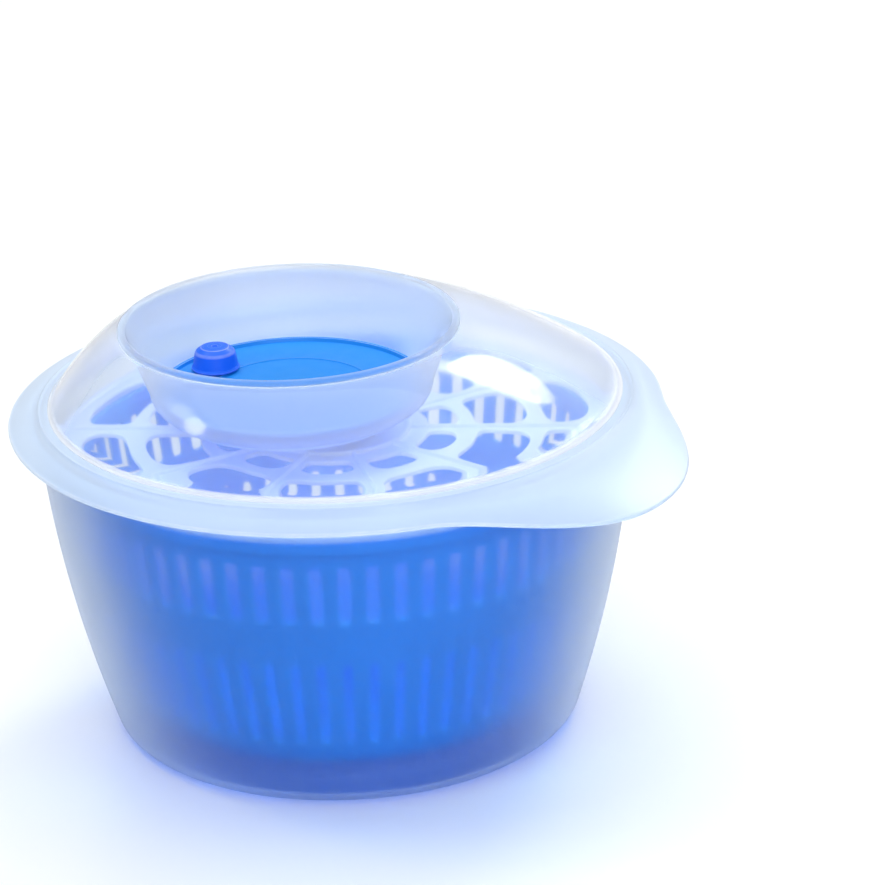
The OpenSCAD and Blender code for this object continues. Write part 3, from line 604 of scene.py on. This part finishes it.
def make_cover():
    b = Builder()
    nu, nv = 20, 12
    pitch = TAU / SECTORS
    start = math.radians(RIB_TURN)
    azimuths = [start + pitch * (k + i / nu) for k in range(SECTORS) for i in range(nu)]
    top = COVER_Z + COVER_T
    bounds_r = (34.5, 53.3, 84.4, 110.5)

    def lift(p, depth):
        return (p[0], p[1], top - depth)
    for k in range(SECTORS):
        a0, a1 = start + pitch * k, start + pitch * (k + 1)
        for j in range(3):
            r0, r1 = bounds_r[j], bounds_r[j + 1]
            edge = [(r0, a1 + (a0 - a1) * i / nu) for i in range(nu)]
            edge += [(r0 + (r1 - r0) * i / nv, a0) for i in range(nv)]
            edge += [(r1, a0 + (a1 - a0) * i / nu) for i in range(nu)]
            edge += [(r1 + (r0 - r1) * i / nv, a1) for i in range(nv)]
            edge = [(r * math.cos(a), r * math.sin(a)) for r, a in edge]
            hole = window_outline(k, j, nu, nv)
            b.add(*perforated_cell(edge, hole, lift, COVER_T, 0.55))
    b.band([(110.5, COVER_Z), (111.9, COVER_Z), (111.9, 121.6), (112.2, 121.2), (113.3, 121.2), (113.6, 121.6),
            (113.6, COVER_Z), (116.0, COVER_Z), (116.4, 125.2), (116.5, 125.8), (116.5, 127.0), (116.3, 127.5),
            (115.9, 127.75), (114.7, 127.75), (114.2, 127.5), (113.8, 127.05), (113.2, top), (110.5, top)], azimuths)
    b.band([(7.5, 130.6), (10.0, 130.6), (10.5, 130.1), (10.5, 128.2), (11.0, 127.4), (12.0, top), (28.2, top),
            (28.7, 127.3), (28.8, 128.2), (29.2, 128.6), (30.8, 128.6), (31.2, 128.2), (31.3, 127.3), (31.8, top),
            (34.5, top)], azimuths)
    b.band([(7.5, 122), (10.1, 122), (10.5, 122.4), (10.5, 124.4), (11.2, COVER_Z), (34.5, COVER_Z)], azimuths)
    b.band([(7.5, 130.6), (7.5, 122)], azimuths)
    # ribs: thin rounded bars with tapered ends
    for k in range(SECTORS):
        a = start + pitch * k
        c, s = math.cos(a), math.sin(a)
        profile = [(-0.95, 0.0), (-0.75, 0.7), (-0.55, 1.2), (-0.2, 1.55), (0.2, 1.55), (0.55, 1.2), (0.75, 0.7),
                   (0.95, 0.0)]
        stations = [(30.5, 1.0), (60, 1.0), (90, 1.0), (108, 1.0), (111, 0.85), (112.6, 0.4), (113.4, 0.0)]
        verts, faces = [], []
        for r, f in stations:
            verts += [(r * c - u * s, r * s + u * c, top - 0.05 + h * f) for u, h in profile]
        n = len(profile)
        for j in range(len(stations) - 1):
            faces += [(j * n + i, j * n + i + 1, (j + 1) * n + i + 1, (j + 1) * n + i) for i in range(n - 1)]
        b.add(verts, faces, [0.6] * len(verts))
    make_object("cover_lace", b.verts, b.faces, LACE, "cover", ("basket_cover",), "cover_plastic", b.wear_and_light,
                sharp=50)


make_cover()

# ---------------------------------------------------------------- lid

SEAT_R, DOME_Z0, DOME_Z1, DOME_R1, DOME_HOLE_R, DOME_POWER = 119.6, 144.5, 173.8, 70.8, 69.6, 1.45
RING_R, RING_Z, CUP_WALL = 71.2, 176.3, 2.0
CUP_FLOOR, CUP_BEND, CUP_LOW_R, CUP_HOLE_R = 139.4, 8.0, 49.4, 39.0
SCREW_ORBIT, BOSS_R, BOSS_BORE, BOSS_TOP = 44.5, 3.0, 1.25, 142.6


def make_dome():
    def z_at(t):
        return DOME_Z0 + (DOME_Z1 - DOME_Z0) * (1 - (1 - t) ** DOME_POWER)
    n = 26
    section = [(118.7, MOUTH_Z, 0), (119.8, MOUTH_Z, 0), (120.1, 143.45, 0), (120.2, 143.8, 0), (120.1, 144.1, 0)]
    section += [(SEAT_R - (SEAT_R - DOME_R1) * i / n, z_at(i / n), i / n) for i in range(n + 1)]
    section += [(DOME_HOLE_R, DOME_Z1, 1), (DOME_HOLE_R, DOME_Z1 - 1.5, 1)]
    section += [(SEAT_R - 2.2 - (SEAT_R - DOME_R1) * i / n, z_at(i / n) - 1.5, i / n) for i in range(n - 1, 0, -1)]
    section += [(117.3, 144.0, 0), (117.0, 142.8, 0), (116.8, 139.0, 0), (116.95, 138.4, 0), (117.3, 138.2, 0),
                (117.9, 138.2, 0), (118.25, 138.4, 0), (118.4, 139.0, 0), (118.4, 142.9, 0)]
    steps = 240
    loops, wear_and_light, milk = [], [], []
    for j in range(steps):
        a = TAU * j / steps
        loops.append([(CRANK_X * t + r * math.cos(a), r * math.sin(a), z) for r, z, t in section])
        wear_and_light += [1.0 if r > 119.7 else 0.0 for r, z, t in section]
        milk += [1.0 if r > 116.5 and z < 144.6 else 0.0 for r, z, t in section]
    verts, faces = ring_of_loops(loops)
    make_object("lid_dome", verts, faces, CLEAR, "lid", ("lid",), "lid_plastic", wear_and_light, milk, sharp=55)


def make_cup():
    floor_top = CUP_FLOOR + CUP_WALL
    corners = [(DOME_HOLE_R - 0.3, DOME_Z1, 0.2), (RING_R, DOME_Z1, 0.4), (RING_R, RING_Z, 0.95),
               (RING_R - 3.2, RING_Z, 1.1), (67.4, 174.0), (66.3, 171.6), (64.5, 167.7), (63.0, 163.8),
               (61.5, 159.8), (60.0, 156.0), (58.6, 152.6)]
    corners += arc(CUP_LOW_R, floor_top + CUP_BEND, CUP_BEND, 0, -90, 14)
    corners += [(CUP_HOLE_R, floor_top, 0.5), (CUP_HOLE_R, CUP_FLOOR, 0.5)]
    corners += arc(CUP_LOW_R, floor_top + CUP_BEND, CUP_BEND + CUP_WALL, -90, 0, 14)
    corners += [(60.7, 152.6), (62.0, 156.0), (63.5, 159.8), (65.0, 163.8), (66.4, 167.7), (67.9, 171.0)]
    turned("lid_cup", corners, FROSTED_CUP, "lid", x=CRANK_X, steps=240, stands_for=("crank_cup",),
           slot="cup_plastic", sharp=50)
    for i in range(4):
        a = math.radians(45 + 90 * i)
        corners = [(BOSS_BORE, floor_top - 0.2), (BOSS_R, floor_top - 0.2), (BOSS_R, BOSS_TOP, 0.3),
                   (BOSS_BORE, BOSS_TOP, 0.1)]
        turned(f"screw_boss_{i + 1}", corners, FROSTED_CUP, "lid", x=CRANK_X + SCREW_ORBIT * math.cos(a),
               y=SCREW_ORBIT * math.sin(a), steps=32, smooth=3, stands_for=("crank_cup",), slot="cup_plastic")


make_dome()
make_cup()

# ---------------------------------------------------------------- crank disc and knob

DISC_R, DISC_Z, FACE_Z, DISC_RIM_Z = 56.0, 143.1, 146.5, 148.1
KNOB_ORBIT, KNOB_DIR, KNOB_R, KNOB_TOP = 40.6, 142.0, 10.2, 157.2
KNOB_X = CRANK_X + KNOB_ORBIT * math.cos(math.radians(KNOB_DIR))
KNOB_Y = KNOB_ORBIT * math.sin(math.radians(KNOB_DIR))


def make_disc():
    corners = [(0, 139.9), (0.0, 139.9), (6.2, 139.9, 0.3), (6.2, DISC_Z, 0.4), (33.0, DISC_Z), (33.0, 139.6, 0.2),
               (34.8, 139.6, 0.3), (34.8, DISC_Z, 0.4), (52.4, DISC_Z, 0.8), (DISC_R, 146.2, 0.6),
               (DISC_R, DISC_RIM_Z, 0.5), (DISC_R - 1.5, DISC_RIM_Z, 0.45), (DISC_R - 2.1, FACE_Z, 0.35),
               (34.0, FACE_Z, 0.15), (33.7, FACE_Z + 0.5, 0.2), (33.1, FACE_Z + 0.5, 0.2), (32.8, FACE_Z, 0.15),
               (0, FACE_Z)]
    turned("disc_face", corners, DISC, "crank", x=CRANK_X, steps=240, smooth=4, stands_for=("crank_disc",),
           slot="disc_plastic")
    turned("knob_pad", [(2.6, FACE_Z - 0.3), (6.0, FACE_Z - 0.3), (6.0, 147.1, 0.2), (2.6, 147.1)], DISC, "crank",
           x=KNOB_X, y=KNOB_Y, steps=64, smooth=3, stands_for=("crank_disc",), slot="disc_plastic")


def make_knob():
    corners = [(2.55, 147.5), (KNOB_R, 147.5, 0.25), (KNOB_R, 148.1, 0.25), (KNOB_R - 0.7, 148.9, 0.4),
               (KNOB_R - 1.15, 152.0), (KNOB_R - 1.7, 155.0, 2.6), (KNOB_R - 4.3, 156.85, 2.4), (5.02, 157.0, 0.05),
               (5.02, 154.4), (4.6, 154.4), (4.6, 152.3), (2.55, 152.3)]
    turned("knob_grip", corners, KNOB, "knob", x=KNOB_X, y=KNOB_Y, steps=128, smooth=9, stands_for=("knob",),
           slot="knob_plastic")
    corners = [(0, 154.4), (4.98, 154.4), (4.98, 157.0, 0.05), (3.0, KNOB_TOP - 0.05, 1.0),
               (1.35, KNOB_TOP - 0.1, 0.3), (0.9, KNOB_TOP - 0.75, 0.4), (0, KNOB_TOP - 0.8)]
    turned("knob_plug", corners, KNOB, "knob", x=KNOB_X, y=KNOB_Y, steps=96, smooth=5, stands_for=("knob_cap",),
           slot="knob_plastic")


make_disc()
make_knob()

# ---------------------------------------------------------------- inner pieces carried over from CAD

def finish_node(name, material, bevel):
    """A carried-over CAD node: its own mesh, with a material and edges softened by bevel mm."""
    ob = NODES[name]
    ob.data.materials.clear()
    ob.data.materials.append(material)
    mod = ob.modifiers.new("soft_edges", "BEVEL")
    mod.width = bevel * MM
    mod.segments = 2
    mod.limit_method = "ANGLE"
    mod.angle_limit = math.radians(35)
    for p in ob.data.polygons:
        p.use_smooth = True


for name in ("pivot_pin", "crank_axle", "axle_washer", "axle_clip", "knob_pin", "housing_screws"):
    finish_node(name, STEEL, 0.1)
for name in ("pivot_bush", "drive_socket", "crank_bush", "spindle_bush", "ring_gear", "pinion", "drive_spindle",
             "knob_washer"):
    finish_node(name, ACETAL, 0.08)
finish_node("gear_housing", TRAY, 0.3)

# ---------------------------------------------------------------- floor and light

def make_stage():
    bpy.ops.mesh.primitive_plane_add(size=14.0, location=(0, 2.0, -0.0002))
    floor = bpy.context.object
    floor.name = "floor"
    mat = plastic("floor", (0.99, 0.99, 0.99, 1), 0.22, drift=0.0, smudge=0.02, grain=300, grain_depth=0.0, wear_and_light=0.0)
    floor.data.materials.append(mat)
    world = bpy.data.worlds.new("studio")
    bpy.context.scene.world = world
    world.use_nodes = True
    bg = world.node_tree.nodes["Background"]
    bg.inputs["Color"].default_value = (0.96, 0.98, 1.0, 1.0)
    bg.inputs["Strength"].default_value = 0.5


def softbox(name, place, aim, width, height, power):
    data = bpy.data.lights.new(name, "AREA")
    data.shape = "ELLIPSE"
    data.size, data.size_y = width, height
    data.energy = power
    ob = bpy.data.objects.new(name, data)
    bpy.context.scene.collection.objects.link(ob)
    ob.location = place
    ob.rotation_euler = (Vector(aim) - Vector(place)).to_track_quat("-Z", "Y").to_euler()


def skylight(energy, spread, tilt):
    """A wide, soft light from overhead, leaning towards the camera."""
    data = bpy.data.lights.new("skylight", "SUN")
    data.energy, data.angle = energy, math.radians(spread)
    ob = bpy.data.objects.new("skylight", data)
    bpy.context.scene.collection.objects.link(ob)
    ob.rotation_euler = (math.radians(tilt), 0, 0)


make_stage()
softbox("back_right", (0.72, 1.2, 1.15), (0.03, 0, 0.14), 0.55, 0.4, 8.0)
softbox("top_left", (-0.85, 0.1, 1.5), (0, 0, 0.14), 0.2, 0.2, 3.0)
softbox("front", (0.2, -2.2, 1.15), (0, 0, 0.08), 1.6, 0.9, 18.0)
skylight(1.25, 50, -14)

view = bpy.context.scene.view_settings
view.view_transform = "Standard"
view.look = "None"
